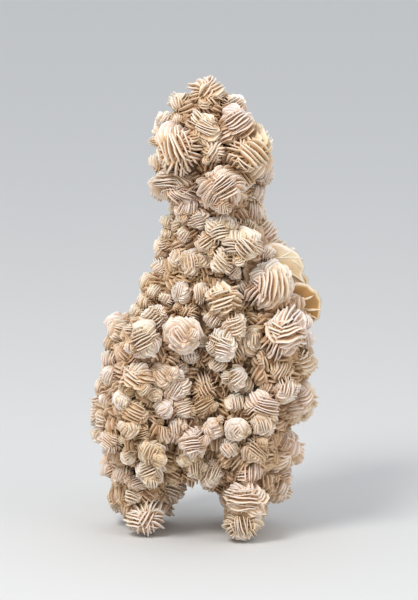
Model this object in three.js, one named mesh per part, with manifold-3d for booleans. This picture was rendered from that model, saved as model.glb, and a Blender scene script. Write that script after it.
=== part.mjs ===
// Gypsum sand rose: one tall upright cluster of intergrown gypsum rosettes that stands on two feet.
// Everything grew together, so the object is one solid. Its core is three lofted trunks, a body
// and two legs, with swellings on the front, and rosettes cover the core all round.
// A rosette is a ball of flat-edged blades that stand side by side, a knob is a small blunt crystal,
// and the wide rose on the right opens into broad plates.
// Millimetres, +Z up, the front faces -Y. The origin is under the middle, on the floor.
import * as THREE from "three";
import { mergeVertices } from "three/addons/utils/BufferGeometryUtils.js";
import Module from "manifold-3d";

const wasm = await Module();
wasm.setup();

const GYPSUM_COLOUR = 0xe2cfb2;
const CENTRE = { x: 0.2, y: -5.2 }; // the middle of the cluster, which is moved to the origin

// The front rosettes are placed by how they are seen from a little above the floor.
const VIEW_TILT = THREE.MathUtils.degToRad(10);
const FRONT_FOOT_Y = -35; // the foot that stands nearest to the viewer

const STAND = 0.35; // share of its radius that a rosette's centre stands out of the core
const MOST_STAND = 0.85; // the same with its lift, so that it still grows out of the core
const KNOB_RADIUS = 10.6; // under this a rosette is a knob
const MOST_KNOB_STAND = 0.4;
const GROOVE = 0.78; // how deep the gap between two blades goes, as a share of the radius

// Sections of the core: height, middle x, half width, middle y, half depth.
const BODY = [
  [389, 4, 8, 0, 8],
  [372, 4, 29, 0, 25],
  [330, 5, 42, 0, 36],
  [288, 8, 30, 0, 28],
  [245, 15, 46, 1, 36],
  [190, 6, 70, 2, 42],
  [120, -3, 83, 2, 44],
  [75, -6, 74, 2, 41],
  [52, -6, 60, 3, 30],
];
const LEFT_LEG = [
  [75, -55, 28, 6, 34],
  [35, -55, 22, 9, 31],
  [-4, -52, 9, 12, 24],
];
const RIGHT_LEG = [
  [75, 38, 34, 2, 36],
  [47, 39, 28, 0, 36],
  [30, 37, 17, -2, 36],
  [-4, 33, 11, -4, 31],
];
const CORE_SIDES = 8;
const LEG_TOP = 54; // under this height a rosette sits on a leg
const LEG_SPLIT_X = -14; // left of this it is the left leg

// Swellings on the front of the body: middle x, y, z, then radii in x, y, z.
const SWELLINGS = [
  [-38, -22, 175, 30, 32, 26], // the proud knot on the left
  [-52, -14, 118, 38, 42, 60], // the left mass
  [18, -20, 178, 18, 34, 52], // the ridge down the middle
  [62, -12, 165, 28, 38, 62], // the right mass
  [32, -16, 95, 36, 38, 46], // over the right leg
  [-12, -14, 92, 18, 34, 30], // between the legs
  [22, -16, 255, 28, 30, 24], // the shoulder
];
const SWELLING_FILL = 1.09; // makes up for what the flat faces of a swelling cut off

// Rosettes of the front: x, height as seen, radius, extra lift, slope of the blade edges in degrees.
const CROWN = [
  [2, 387, 14, 0, 60],
  [-20, 376, 11, 0, 110],
  [27, 378, 13, 0, 35],
  [-33, 363, 9, 0, 60],
  [-22, 337, 25, 2, 112],
  [1, 354, 15, 4, 155],
  [27, 357, 19, 4, 35],
  [36, 332, 24, 4, 138],
  [49, 341, 11, 0, 40],
  [50, 318, 11, 2, 70],
  [-39, 326, 10, 0, 100],
  [-26, 307, 19, 0, 8],
  [15, 303, 22, 14, 35],
  [44, 299, 11, 0, 60],
  [41, 283, 11, 2, 80],
  [6, 335, 11, 8, 55],
  [31, 311, 12, 2, 130],
];
const SHOULDER = [
  [-17, 287, 11.5, 6, 60],
  [-5, 275, 9.5, 8, 20],
  [-10, 240, 10.5, 8, 100],
  [14, 240, 11, 4, 145],
  [3, 257, 11, 2, 40],
  [14, 267, 13, 4, 20],
  [33, 254, 16, 4, 130],
  [38, 270, 10, 4, 60],
  [50, 267, 12, 0, 35],
  [51, 248, 10, 6, 50],
  [55, 221, 19, 12, 85],
];
const RIGHT = [
  [40, 174, 12, 4, 100],
  [68, 179, 24, 2, 12],
  [85, 172, 9, 0, 90],
  [84, 153, 12, 2, 20],
  [65, 148, 10, 2, 60],
  [81, 124, 16, 2, 25],
  [69, 132, 12, 4, 70],
  [75, 108, 10, 2, 120],
  [86, 111, 9, 0, 40],
];
const MIDDLE = [
  [15, 208, 16, 4, 50],
  [8, 191, 10, 4, 60],
  [26, 187, 11, 3, 15],
  [15, 168, 13, 4, 160],
  [-14, 197, 12, -6, 60],
  [25, 142, 11, 6, 40],
  [27, 120, 10, 4, 100],
  [50, 117, 15, 6, 165],
  [49, 102, 12, 6, 110],
  [27, 97, 11, 6, 60],
  [7, 98, 11, 6, 20],
  [0, 132, 14, -4, 130],
  [-2, 117, 12, 0, 40],
];
const RIGHT_FOOT = [
  [66, 78, 19, 0, 45],
  [20, 80, 9.5, 2, 120],
  [43, 80, 12, 0, 145],
  [40, 59, 11, 1, 85],
  [77, 73, 10, 0, 60],
  [66, 56, 12, 2, 10],
  [62, 43, 14, 2, 60],
  [35, 36, 17, 6, 0],
  [33, 14, 16, 2, 100],
  [8, 45, 9, 0, 60],
  [5, 60, 12, 2, 70],
  [-7, 63, 11, 2, 100],
  [-10, 85, 13, 4, 10],
];
const LEFT = [
  [-36, 236, 10, 0, 40],
  [-48, 222, 10, 0, 60],
  [-20, 216, 9.5, 6, 80],
  [-50, 174, 16, 4, 20],
  [-42, 192, 12, 4, 40],
  [-20, 178, 17, 8, 125],
  [-13, 161, 10, 6, 100],
  [-75, 183, 12, 0, 60],
  [-80, 143, 9, 0, 60],
  [-92, 118, 9.5, 0, 0],
  [-70, 121, 8.5, 8, 80],
  [-87, 105, 9, 0, 0],
  [-80, 87, 11, 2, 150],
  [-65, 97, 11, 8, 60],
  [-58, 112, 12, -4, 150],
  [-24, 97, 11, 6, 100],
  [-34, 114, 10, 8, 0],
  [-18, 115, 11, 4, 30],
  [-24, 132, 12, 8, 50],
  [-35, 144, 12, 4, 140],
  [-58, 142, 15, 4, 150],
];
const LEFT_FOOT = [
  [-77, 72, 10, 2, 50],
  [-64, 75, 9, 4, 30],
  [-45, 77, 12, 4, 60],
  [-45, 62, 15, 10, 30],
  [-70, 56, 10.5, 6, 60],
  [-62, 38, 10, 4, 160],
  [-77, 35, 9, -2, 90],
  [-30, 44, 13, 0, 160],
  [-36, 28, 10, -8, 30],
  [-52, 18, 15, 0, 60],
];
const FRONT = [CROWN, SHOULDER, RIGHT, MIDDLE, RIGHT_FOOT, LEFT, LEFT_FOOT].flat();

// Plates of the wide rose on the right: middle x, y, z, radius, lean to the right and back in degrees.
const PLATES = [
  [60, -26, 230, 29, 24, 8],
  [63, -16, 236, 28, 40, 14],
  [75, -20, 203, 25, 22, -14],
  [70, -4, 214, 27, 52, 4],
];
const PLATE_THICKNESS = 5;
const PLATE_SIDES = 8;

// Rows of rosettes round the sides and the back: trunk, lowest row, highest row.
const ROWS = [
  [BODY, 68, 384],
  [LEFT_LEG, 22, 50],
  [RIGHT_LEG, 22, 50],
];
const ROW_PITCH = 35;
const RING_PITCH = 35;
const ROW_START = -8; // degrees behind the side where a row starts and ends
const LEAST_BACK_RADIUS = 15;
const BACK_RADIUS_SPREAD = 8;
const SIDE_REACH = 12; // how far a rosette on the side reaches out of the core

// Height of the front's rosettes: what is seen at a height lies higher if it is nearer.
const seenToTrue = (seen, y) =>
  (seen + (FRONT_FOOT_Y - y) * Math.sin(VIEW_TILT)) / Math.cos(VIEW_TILT);

function sectionAt(trunk, z) {
  const above = trunk.findLastIndex((section) => section[0] >= z);
  const upper = trunk[Math.max(above, 0)];
  const lower = trunk[Math.min(above + 1, trunk.length - 1)];
  const span = upper[0] - lower[0];
  const share = span > 0 ? THREE.MathUtils.clamp((upper[0] - z) / span, 0, 1) : 0;
  return upper.slice(1).map((value, i) => value + (lower[i + 1] - value) * share);
}

function trunkAt(x, z) {
  if (z > LEG_TOP) return BODY;
  return x < LEG_SPLIT_X ? LEFT_LEG : RIGHT_LEG;
}

// The core's front surface at a place, or its middle where the place is past its edge.
function frontOf(x, z) {
  const [middleX, width, middleY, depth] = sectionAt(trunkAt(x, z), z);
  const across = (x - middleX) / width;
  let y = middleY - depth * Math.sqrt(Math.max(0, 1 - across * across));
  for (const [sx, sy, sz, rx, ry, rz] of SWELLINGS) {
    const inside = 1 - ((x - sx) / rx) ** 2 - ((z - sz) / rz) ** 2;
    if (inside > 0) y = Math.min(y, sy - ry * Math.sqrt(inside));
  }
  return y;
}

function frontRosette([x, seen, radius, lift, slope]) {
  const most = radius < KNOB_RADIUS ? MOST_KNOB_STAND : MOST_STAND;
  const stand = Math.min(STAND * radius + lift, most * radius);
  let y = 0;
  let z = seen;
  for (let pass = 0; pass < 4; pass++) {
    y = frontOf(x, z) - stand;
    z = seenToTrue(seen, y);
  }
  const slopeAngle = THREE.MathUtils.degToRad(slope);
  const edge = new THREE.Vector3(Math.cos(slopeAngle), 0, Math.sin(slopeAngle));
  const outward = new THREE.Vector3(x - sectionAt(trunkAt(x, z), z)[0], 2 * y, 0).normalize();
  const normal = new THREE.Vector3().crossVectors(edge, outward).normalize();
  return { centre: new THREE.Vector3(x, y, z), radius, normal };
}

// A fixed scatter between 0 and 1 for the numbers i and k.
function scatter(i, k) {
  const wave = Math.sin(i * 12.9898 + k * 78.233) * 43758.5453;
  return wave - Math.floor(wave);
}

function backRosettes() {
  const found = [];
  for (const [trunk, low, high] of ROWS) {
    for (let z = low; z <= high; z += ROW_PITCH) {
      const [middleX, width, middleY, depth] = sectionAt(trunk, z);
      const arc = ((width + depth) / 2) * THREE.MathUtils.degToRad(180 - 2 * ROW_START);
      const count = Math.max(2, Math.round(arc / RING_PITCH));
      for (let i = 0; i < count; i++) {
        const seed = found.length + 1;
        const share = (i + 0.5 + 0.5 * (scatter(seed, 1) - 0.5)) / count;
        const angle = THREE.MathUtils.degToRad(ROW_START + (180 - 2 * ROW_START) * share);
        const radius = LEAST_BACK_RADIUS + BACK_RADIUS_SPREAD * scatter(seed, 2) ** 2;
        const stand = STAND * radius + 5 * scatter(seed, 3);
        const centre = new THREE.Vector3(
          middleX + (width + SIDE_REACH - 0.85 * radius) * Math.cos(angle),
          middleY + (depth + stand) * Math.sin(angle),
          z + 9 * (scatter(seed, 4) - 0.5),
        );
        centre.z = Math.max(centre.z, radius * 0.9);
        const outward = new THREE.Vector3(Math.cos(angle), Math.sin(angle), 0);
        const sideways = new THREE.Vector3(-Math.sin(angle), Math.cos(angle), 0);
        const turn = Math.PI * scatter(seed, 5);
        const edge = sideways.multiplyScalar(Math.cos(turn)).setZ(Math.sin(turn));
        found.push({ centre, radius, normal: edge.cross(outward).normalize() });
      }
    }
  }
  return found;
}

// A geometry as a solid that can be joined and cut.
function solidOf(geometry) {
  const bare = geometry.clone();
  bare.deleteAttribute("normal");
  bare.deleteAttribute("uv");
  const merged = mergeVertices(bare, 1e-4);
  return new wasm.Manifold(
    new wasm.Mesh({
      numProp: 3,
      vertProperties: merged.attributes.position.array,
      triVerts: new Uint32Array(merged.index.array),
    }),
  );
}

// A trunk: a cylinder whose rings take the sizes of its sections, from the top down.
function trunkSolid(sections) {
  const spans = sections.length - 1;
  const geometry = new THREE.CylinderGeometry(1, 1, spans, CORE_SIDES, spans);
  const place = geometry.attributes.position;
  for (let i = 0; i < place.count; i++) {
    const ring = Math.round(spans / 2 - place.getY(i));
    const [z, x, width, y, depth] = sections[ring];
    place.setXYZ(i, x + width * place.getZ(i), y + depth * place.getX(i), z);
  }
  return solidOf(geometry);
}

function swellingSolid([x, y, z, rx, ry, rz]) {
  const geometry = new THREE.SphereGeometry(SWELLING_FILL, 6, 4);
  geometry.scale(rx, ry, rz).translate(x, y, z);
  return solidOf(geometry);
}

// A rosette: blades side by side, as a turned stack of discs that fill a ball.
function rosetteSolid({ centre, radius, normal }) {
  if (radius < KNOB_RADIUS) return knobSolid(centre, radius);
  const blades = radius > 20 ? 3 : 2;
  const sides = radius > 17 ? 6 : 5;
  const pitch = (2 * radius) / blades;
  const reach = (offset) => Math.sqrt(Math.max(0, radius * radius - offset * offset));
  const profile = [new THREE.Vector2(0, -0.96 * radius)];
  for (let i = 0; i < blades; i++) {
    const offset = -radius + (i + 0.5) * pitch;
    profile.push(new THREE.Vector2(reach(offset), offset));
    if (i < blades - 1) profile.push(new THREE.Vector2(GROOVE * reach(offset + pitch / 2), offset + pitch / 2));
  }
  profile.push(new THREE.Vector2(0, 0.96 * radius));
  const geometry = new THREE.LatheGeometry(profile, sides);
  const turn = new THREE.Quaternion().setFromUnitVectors(new THREE.Vector3(0, 1, 0), normal);
  geometry.applyQuaternion(turn).translate(centre.x, centre.y, centre.z);
  return solidOf(geometry);
}

// A small crystal with eight flat faces, turned some way or other.
function knobSolid(centre, radius) {
  const geometry = new THREE.OctahedronGeometry(radius);
  geometry.rotateX(centre.x).rotateY(centre.z).translate(centre.x, centre.y, centre.z);
  return solidOf(geometry);
}

function plateSolid([x, y, z, radius, right, back]) {
  const geometry = new THREE.CylinderGeometry(radius, radius, PLATE_THICKNESS, PLATE_SIDES);
  geometry.rotateX(THREE.MathUtils.degToRad(-back)).rotateZ(THREE.MathUtils.degToRad(right));
  return solidOf(geometry.translate(x, y, z));
}

const pieces = [
  ...[BODY, LEFT_LEG, RIGHT_LEG].map(trunkSolid),
  ...SWELLINGS.map(swellingSolid),
  ...FRONT.map(frontRosette).map(rosetteSolid),
  ...PLATES.map(plateSolid),
  ...backRosettes().map(rosetteSolid),
];
const joined = wasm.Manifold.union(pieces);
const floorBlock = new THREE.BoxGeometry(600, 600, 100).translate(0, 0, -50);
const standing = joined.subtract(solidOf(floorBlock));

// Tiny pockets that the rosettes seal between them stay filled: the largest body is the cluster.
const cluster = standing.decompose().reduce((a, b) => (b.volume() > a.volume() ? b : a));

const { vertProperties, triVerts } = cluster.getMesh();
const geometry = new THREE.BufferGeometry();
geometry.setAttribute("position", new THREE.BufferAttribute(vertProperties, 3));
geometry.setIndex(new THREE.BufferAttribute(triVerts, 1));
geometry.translate(-CENTRE.x, -CENTRE.y, 0);

const sandRose = new THREE.Mesh(
  geometry,
  new THREE.MeshStandardMaterial({ color: GYPSUM_COLOUR, roughness: 0.85, metalness: 0, flatShading: true }),
);
sandRose.name = "sand_rose";

const group = new THREE.Group();
group.add(sandRose);
export default group;
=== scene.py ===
# Gypsum sand rose: the looks of the cluster around its imported solid, in metres.
# Every rosette of the solid becomes packets of thin lens-shaped blades that lean apart like pages,
# smaller rosettes fill the gaps between them, and a brown core closes the cluster inside.
# The darkening down the grooves and between rosettes, and the brown of the core and the fillers, are
# partly painted shade; the white on upward faces is partly painted light from above.
import math

import bpy
import numpy as np
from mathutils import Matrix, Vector


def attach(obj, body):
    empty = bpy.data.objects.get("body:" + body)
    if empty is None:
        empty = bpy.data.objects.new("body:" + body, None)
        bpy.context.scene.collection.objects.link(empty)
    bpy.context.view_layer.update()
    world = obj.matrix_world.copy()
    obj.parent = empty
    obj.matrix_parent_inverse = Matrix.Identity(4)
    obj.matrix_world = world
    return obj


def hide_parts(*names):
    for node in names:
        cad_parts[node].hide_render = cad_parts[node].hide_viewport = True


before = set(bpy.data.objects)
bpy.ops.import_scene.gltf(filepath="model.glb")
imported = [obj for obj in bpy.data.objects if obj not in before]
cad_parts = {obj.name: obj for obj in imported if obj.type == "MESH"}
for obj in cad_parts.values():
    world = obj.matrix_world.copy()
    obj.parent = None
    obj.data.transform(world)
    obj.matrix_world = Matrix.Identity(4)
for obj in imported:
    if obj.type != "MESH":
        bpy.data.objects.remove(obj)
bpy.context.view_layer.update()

MM = 0.001
NODE = "sand_rose"
BODY_NAME = "root"

# Placement, in millimetres, as the solid has it.
CENTRE = np.array([0.2, -5.2, 0.0])
VIEW_TILT = math.radians(10)
FRONT_FOOT_Y = -35
STAND = 0.35  # share of its radius that a rosette stands out of the core
MOST_STAND = 0.85  # the same with its lift
KNOB_RADIUS = 10.6  # under this a rosette stands out less
MOST_KNOB_STAND = 0.4
SETTLING = 4  # rounds until depth and height agree
LEG_TOP = 54
LEG_SPLIT_X = -14  # between the two legs
FLOOR_SHARE = 0.9  # the least height of a rosette's middle, against its radius
ASKEW = [0.3, 0.2, 1]  # a direction that no rosette looks along

# Sections of the core: height, middle x, half width, middle y, half depth.
BODY = [
    [389, 4, 8, 0, 8],
    [372, 4, 29, 0, 25],
    [330, 5, 42, 0, 36],
    [288, 8, 30, 0, 28],
    [245, 15, 46, 1, 36],
    [190, 6, 70, 2, 42],
    [120, -3, 83, 2, 44],
    [75, -6, 74, 2, 41],
    [52, -6, 60, 3, 30],
]
LEFT_LEG = [
    [75, -55, 28, 6, 34],
    [35, -55, 22, 9, 31],
    [-4, -52, 9, 12, 24],
]
RIGHT_LEG = [
    [75, 38, 34, 2, 36],
    [47, 39, 28, 0, 36],
    [30, 37, 17, -2, 36],
    [-4, 33, 11, -4, 31],
]
# Swellings on the front of the body: middle x, y, z, then radii in x, y, z.
SWELLINGS = [
    [-38, -22, 175, 30, 32, 26],
    [-52, -14, 118, 38, 42, 60],
    [18, -20, 178, 18, 34, 52],
    [62, -12, 165, 28, 38, 62],
    [32, -16, 95, 36, 38, 46],
    [-12, -14, 92, 18, 34, 30],
    [22, -16, 255, 28, 30, 24],
]

# Rosettes of the front: x, height as seen, radius, extra lift, slope of the blade edges in degrees,
# then a style and a tint from the tables below. A row without them is PLAIN.
PLAIN = ("mixed", "cream")
CROWN = [
    [2, 385, 14, 0, 60, "star", "amber"],
    [-20, 376, 11, 0, 110, "mixed", "white"],
    [25, 374, 12, 0, 35, "fan", "white"],
    [-33, 363, 9, 0, 60, "fan", "white"],
    [-22, 361, 6, 6, 90],
    [-21, 337, 24.5, 2, 112, "coarse", "rose"],
    [1, 354, 15, 4, 155],
    [27, 357, 19, 4, 35, "fan", "rose"],
    [36, 332, 24, 4, 138, "coarse", "amber"],
    [49, 341, 11, 0, 40, "mixed", "white"],
    [50, 318, 11, 2, 70, "mixed", "white"],
    [-43, 343, 6, 0, 0, "mixed", "amber"],
    [-39, 326, 10, 0, 100],
    [-42, 308, 7, 0, 80],
    [-26, 307, 19, 0, 8, "fine", "cream"],
    [-38, 300, 8, 2, 70],
    [15, 303, 20.5, 14, 35, "fine", "rose"],
    [44, 299, 11, 0, 60, "mixed", "white"],
    [41, 283, 11, 2, 80, "fan", "cream"],
    [6, 335, 11, 8, 55, "star", "cream"],
    [31, 311, 12, 2, 130, "fan", "cream"],
    [16, 380, 8, -2, 60],
]
SHOULDER = [
    [-17, 287, 11.5, 6, 60, "swirl", "rose"],
    [-5, 275, 9.5, 8, 20],
    [-31, 276, 8, 0, 70, "mixed", "white"],
    [-33, 266, 7, 0, 70, "swirl", "white"],
    [-16, 263, 7.5, 8, 50],
    [-23, 272, 6, 4, 0],
    [-33, 257, 8, 0, 10, "fan", "white"],
    [-35, 247, 8, 0, 45],
    [-23, 245, 8, 4, 80, "swirl", "cream"],
    [-10, 240, 10.5, 8, 100, "mixed", "rose"],
    [1, 241, 8, 8, 60, "swirl", "white"],
    [14, 240, 11, 4, 145, "fan", "cream"],
    [3, 257, 11, 2, 40, "mixed", "amber"],
    [14, 267, 13, 4, 20, "mixed", "white"],
    [33, 254, 16, 4, 130],
    [38, 270, 10, 4, 60],
    [50, 267, 12, 0, 35, "fan", "cream"],
    [51, 248, 10, 6, 50, "mixed", "white"],
    [25, 232, 9, 0, 45],
    [35, 218, 8, 0, 105, "fan", "cream"],
    [55, 221, 19, 12, 85, "fan", "rose"],
]
RIGHT = [
    [40, 180, 9, 12, 100, "swirl", "white"],
    [40, 174, 12, 4, 100, "swirl", "cream"],
    [68, 179, 22.5, 2, 12, "coarse", "rose"],
    [85, 172, 9, 0, 90, "mixed", "white"],
    [86, 187, 7, 0, 60, "mixed", "white"],
    [84, 153, 12, 2, 20, "coarse", "amber"],
    [65, 148, 10, 2, 60, "fan", "amber"],
    [52, 156, 8, -2, 100, "star", "cream"],
    [54, 133, 8, -2, 60],
    [81, 124, 16, 2, 25, "mixed", "rose"],
    [69, 132, 12, 4, 70],
    [75, 108, 10, 2, 120, "fan", "cream"],
    [86, 111, 9, 0, 40],
]
MIDDLE = [
    [15, 208, 16, 4, 25, "coarse", "amber"],
    [-3, 213, 9, 4, 100],
    [8, 191, 10, 4, 60],
    [26, 187, 11, 3, 15, "fan", "rose"],
    [20, 178, 8, 0, 170],
    [15, 168, 13, 4, 160, "mixed", "white"],
    [29, 165, 9, -2, 120, "fan", "cream"],
    [12, 152, 9, 0, 45],
    [-14, 197, 12, -6, 60, "star", "brown"],
    [-4, 158, 9, -6, 90, "star", "brown"],
    [25, 142, 11, 6, 40, "mixed", "white"],
    [36, 134, 9, 6, 60, "fan", "cream"],
    [27, 120, 10, 4, 100],
    [50, 117, 15, 6, 165, "fan", "rose"],
    [49, 102, 12, 6, 110],
    [27, 97, 11, 6, 60, "swirl", "cream"],
    [7, 98, 11, 6, 20, "swirl", "rose"],
    [0, 132, 14, -4, 130, "star", "brown"],
    [-2, 117, 12, 0, 40, "mixed", "brown"],
]
RIGHT_FOOT = [
    [66, 78, 19, 0, 45, "star", "rose"],
    [20, 80, 9.5, 2, 120, "fan", "cream"],
    [43, 80, 12, 0, 145, "mixed", "brown"],
    [40, 59, 11, 1, 85, "fan", "rose"],
    [77, 73, 10, 0, 60],
    [66, 56, 12, 2, 10],
    [62, 43, 14, 2, 60, "star", "cream"],
    [35, 36, 17, 6, 0, "fan", "rose"],
    [33, 14, 16, 2, 100],
    [8, 45, 9, 0, 60, "coarse", "amber"],
    [5, 60, 12, 2, 70, "mixed", "white"],
    [-7, 63, 11, 2, 100],
    [-15, 71, 8, 4, 120, "swirl", "cream"],
    [-10, 85, 13, 4, 10, "mixed", "rose"],
]
LEFT = [
    [-36, 236, 10, 0, 40, "mixed", "white"],
    [-48, 222, 10, 0, 60, "fan", "cream"],
    [-42, 214, 8, 4, 60],
    [-20, 216, 9.5, 6, 80, "fine", "white"],
    [-33, 208, 7, 4, 60],
    [-50, 206, 8, 0, 70, "fan", "cream"],
    [-57, 198, 8, 2, 60, "mixed", "white"],
    [-50, 174, 16, 4, 20],
    [-42, 192, 12, 4, 40, "mixed", "white"],
    [-20, 178, 17, 8, 125, "swirl", "rose"],
    [-4, 175, 8, 8, 60, "mixed", "white"],
    [-13, 161, 10, 6, 100, "fan", "white"],
    [-75, 183, 12, 0, 60, "mixed", "rose"],
    [-66, 191, 7, 0, 50, "mixed", "white"],
    [-63, 181, 6, 6, 0, "mixed", "rose"],
    [-79, 169, 9.5, 2, 60, "fan", "amber"],
    [-81, 156, 9, 0, 90],
    [-66, 163, 8, -4, 60, "mixed", "brown"],
    [-80, 143, 9, 0, 60, "mixed", "white"],
    [-88, 133, 8, 0, 50],
    [-92, 118, 9.5, 0, 0, "fan", "cream"],
    [-84, 121, 7, 2, 70, "mixed", "white"],
    [-70, 121, 8.5, 8, 80, "swirl", "white"],
    [-87, 105, 9, 0, 0],
    [-95, 104, 6, 0, 0],
    [-92, 91, 7.5, 0, 70],
    [-80, 87, 11, 2, 150, "mixed", "rose"],
    [-65, 97, 11, 8, 60, "swirl", "amber"],
    [-58, 112, 12, -4, 150, "fan", "brown"],
    [-52, 94, 9, -2, 20, "mixed", "brown"],
    [-24, 97, 11, 6, 100],
    [-36, 94, 8, 0, 95, "fan", "cream"],
    [-34, 114, 10, 8, 35, "swirl", "white"],
    [-18, 115, 11, 4, 30],
    [-24, 132, 12, 8, 50, "mixed", "white"],
    [-42, 128, 8, 4, 20, "mixed", "amber"],
    [-35, 144, 12, 4, 140, "swirl", "amber"],
    [-20, 150, 8, 2, 30, "fan", "cream"],
    [-58, 142, 15, 4, 150, "star", "amber"],
    [-66, 135, 8, 6, 60, "mixed", "amber"],
]
LEFT_FOOT = [
    [-77, 72, 10, 2, 50, "mixed", "rose"],
    [-64, 75, 9, 4, 30, "swirl", "cream"],
    [-45, 77, 12, 4, 60, "mixed", "amber"],
    [-45, 62, 15, 10, 30, "mixed", "white"],
    [-70, 56, 10.5, 6, 60, "mixed", "rose"],
    [-84, 60, 8, 0, 70],
    [-59, 50, 9, 4, 40, "mixed", "rose"],
    [-62, 38, 10, 4, 160, "fan", "cream"],
    [-77, 35, 9, -2, 90, "mixed", "brown"],
    [-30, 44, 13, 0, 160, "fan", "cream"],
    [-36, 28, 10, -8, 30],
    [-52, 18, 15, 0, 60, "star", "cream"],
]

# Plates of the wide rose on the right: middle x, y, z, radius, lean to the right and back in degrees,
# then how deep the face's colour looks, and a tint.
PLATES = [
    [60, -24, 230, 29, 24, 8, 3.2, "amber"],
    [64, -15, 228, 27, 40, 14, 3.8, "amber"],
    [78, -19, 201, 25, 16, -14, 8.2, "honey"],
    [72, -4, 213, 28, 52, 4, 6.5, "honey"],
]
# Straight ribs that cross the plates: plate, then x and height as seen of both ends.
RIBS = [
    [0, 50, 245, 87, 241],
    [0, 60, 240, 88, 219],
    [0, 61, 243, 79, 250],
    [0, 72, 241, 86, 232],
    [2, 76, 201, 102, 198],
    [2, 74, 205, 96, 213],
    [2, 84, 199, 98, 189],
]
RIB_STAND = 2.6  # how far a rib stands out of its plate
RIB_DEPTH = 6.0  # from its middle line to its rim
RIB_SHARE = 0.52  # half its length, against the space between its ends
# Thickness at the rim and in the middle, width of the bevel, dish of the middle, and how deep the faces'
# colour looks.
RIB_SIZES = {"rim": 1.2, "core": 2.2, "bevel": 0.9, "bare": 0.5}
PLATE_SIZES = {"rim": 1.4, "core": 3.0, "bevel": 1.8, "dish": -0.8}
WIDE_ROSE_CENTRE = [58, 0, 222]
WIDE_ROSE_RADIUS = 42.0
WIDE_ROSE_OUT = [0.6, -1, 0]

# Pieces of the front and their rosettes.
FRONT = {
    "crown": CROWN, "shoulder": SHOULDER, "right_side": RIGHT, "middle": MIDDLE,
    "right_foot": RIGHT_FOOT, "left_side": LEFT, "left_foot": LEFT_FOOT,
}
# The way a front rosette looks: by its place across and forward, and a little up.
OUT_ACROSS = 0.5
OUT_FORWARD = 1.4
LEAST_FORWARD = -20
OUT_UP = 6

# Rows of rosettes round the sides and the back: trunk, lowest row, highest row.
ROWS = [[BODY, 68, 384], [LEFT_LEG, 22, 50], [RIGHT_LEG, 22, 50]]
ROW_PITCH = 35
RING_PITCH = 35
ROW_START = -8  # degrees, less than 0 for rows that start and end in front of the sides
ROW_JITTER = 0.5  # along a row, against the space between two rosettes
ROW_SCATTER = 9  # up and down
LEAST_BACK_RADIUS = 15
BACK_RADIUS_SPREAD = 8
BACK_LIFT = 5  # added at most to how far one stands out
BACK_RISE = 0.1  # how much a rosette of the back looks up
SIDE_REACH = 12  # how far a rosette on the side reaches out of the core, with SIDE_SHARE of its radius
SIDE_SHARE = 0.85
NARROW_ROWS = (195, 230)  # heights between which it reaches only NARROW_REACH out
NARROW_REACH = 2
BACK_TOP = 386  # no rosette of the back stands higher
BACK_SPLIT = 120  # the height between the back's two pieces
BACK_STYLES = ("mixed", "coarse", "fan", "swirl", "fine", "star", "mixed")
BACK_TINTS = ("cream", "rose", "white", "cream", "amber")

# Blades. A packet is a family of blades that lean apart like pages from one line.
LUSH = 1.05  # the rosettes' size against the solid's
PACKET_FAN = math.radians(52)  # how far a packet reaches to either side
LEAN_SHARE = 0.33  # how much of that its outermost blades lean
MOST_PACKETS = 10
ROSETTE_SEED = 100
RIM_SEED = 7
PACKET_SIZE = (0.76, 1.1)  # the side packets' size against the main one's
BLADE_REACH = (0.86, 1.06)
SQUARENESS = 2.6  # 2 would make a blade's rim an ellipse
BACK_PITCH = 1.5  # how much wider the blades stand at the back
HUB_SHARE = 0.36  # where a blade's middle lies on the way out
BLADE_PITCH = 1.9  # between the rims of two blades on a very small rosette
PITCH_GROWTH = 0.05  # how much wider this gets for each millimetre of radius
RIM_TO_PITCH = 0.3  # a blade's thickness at its rim, against the pitch
HUB_TO_PITCH = 0.62  # the same at its middle
BEVEL = 0.7  # width of the pale bevel along a rim
DIVE_START = 0.015  # past its packet's border a blade dives under the next packet
DIVE_RATE = 2.2
DEEPEST_DIVE = 0.3
# Out of sight is what lies within a share of another rosette's radius or its own, or this far inside
# the body or under the floor.
HIDDEN_DEPTH = 0.84
OWN_DEPTH = 0.62
BURIED = 9
UNDER_FLOOR = -0.5

# Packets that stand round a rosette's main one: up to a radius, how many, and their tilt in degrees.
FRONT_PACKETS = [(10, 4, 80), (17, 6, 70), (math.inf, 9, 62)]
BACK_PACKETS = [(10, 4, 80), (17, 6, 70), (math.inf, 7, 66)]
FILLER_PACKETS = [(9, 2, 75), (math.inf, 4, 70)]
TILT_SCATTER = 13
PLACE_SCATTER = 0.15  # round the rosette, against the space between two

# How much packets and blades differ: factors of the fan, widths and thicknesses, then a blade's place
# in its packet, its two turns in radians, and its shift against the radius.
FAN_FACTOR = (0.92, 1.08)
PACKET_HALF = (0.72, 0.82)
BLADE_HALF = (0.86, 1.08)
RIM_FACTOR = (0.75, 1.3)
HUB_FACTOR = (0.85, 1.15)
BLADE_PLACE = 0.2
BLADE_TURN = 0.1
BLADE_LEAN = 0.08
BLADE_SHIFT = 0.06
SPREAD_TO_FAN = 0.6  # a packet with more spread fans out further

# A rosette's size outwards and across, against a ball's.
SQUEEZE_OUT = (0.9, 1.02)
SQUEEZE_ACROSS = (0.86, 1.14)

# A rim's waves, raggedness and warp, against its blade's size.
RIM_WAVE = 0.018
RAGGEDNESS = 0.026
RIM_WARP = 0.06
RIM_SPAN = 118  # degrees to either side that a rim's fine points reach

# Buds, smaller rosettes that grow out of the shoulders of the front ones.
LEAST_PARENT = 11  # smaller rosettes have none
BUDLESS = ("fan", "coarse")
BUD_STYLES = ("mixed", "fine", "swirl")
BUD_RADIUS = (0.36, 0.52)  # against the parent's
BUD_TILT = (48, 72)
BUD_SINK = 0.35
BUD_MARGIN = 2  # from the trunk's side

# Slow waves that bend the blades and take the roundness off the rosettes: size and lengths.
SWAY = 1.3
SWAY_LENGTHS = (31.0, 17.0)

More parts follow.
